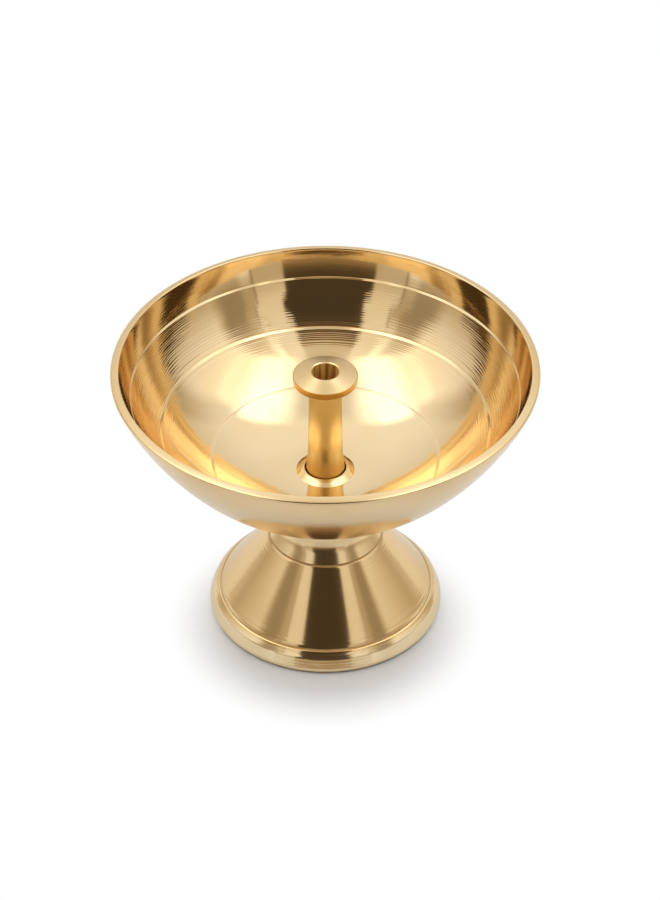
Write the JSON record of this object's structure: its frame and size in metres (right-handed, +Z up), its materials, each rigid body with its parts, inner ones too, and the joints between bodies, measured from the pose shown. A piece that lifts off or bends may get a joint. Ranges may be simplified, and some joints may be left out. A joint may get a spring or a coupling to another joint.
{
  "type": "footed brass diya",
  "caption": "Footed brass oil lamp: a round turned bowl on a flared pedestal, with a flanged wick tube that stands in the middle and lifts out.",
  "frame": {"origin": "middle of the circle that the foot stands on, on the axis of the lamp", "axes": "+Z up along the axis that every piece is turned about"},
  "size_m": [0.1, 0.1, 0.071],
  "materials": {
    "pedestal_brass": "lathe-turned and polished, fine rings",
    "bowl_brass": "lathe-turned and polished, fine rings inside",
    "socket_brass": "polished",
    "tube_brass": "drawn and polished, warmer in colour",
    "head_brass": "turned, satin on top",
    "fixing_brass": "plain turned and milled",
    "seal_fibre": "pressed fibre, matt"
  },
  "bodies": {
    "lamp": {"pedestal": "pedestal_brass", "bowl": "bowl_brass", "seal_washer": "seal_fibre", "wick_socket": "socket_brass", "clamp_washer": "fixing_brass", "hex_nut": "fixing_brass"},
    "wick_holder": {"wick_tube": "tube_brass", "wick_head": "head_brass"}
  },
  "joints": [
    {"name": "wick_holder_lift", "type": "slide", "parent": "lamp", "child": "wick_holder", "axis": [0, 0, 1], "range_m": [0, 0.04]}
  ]
}
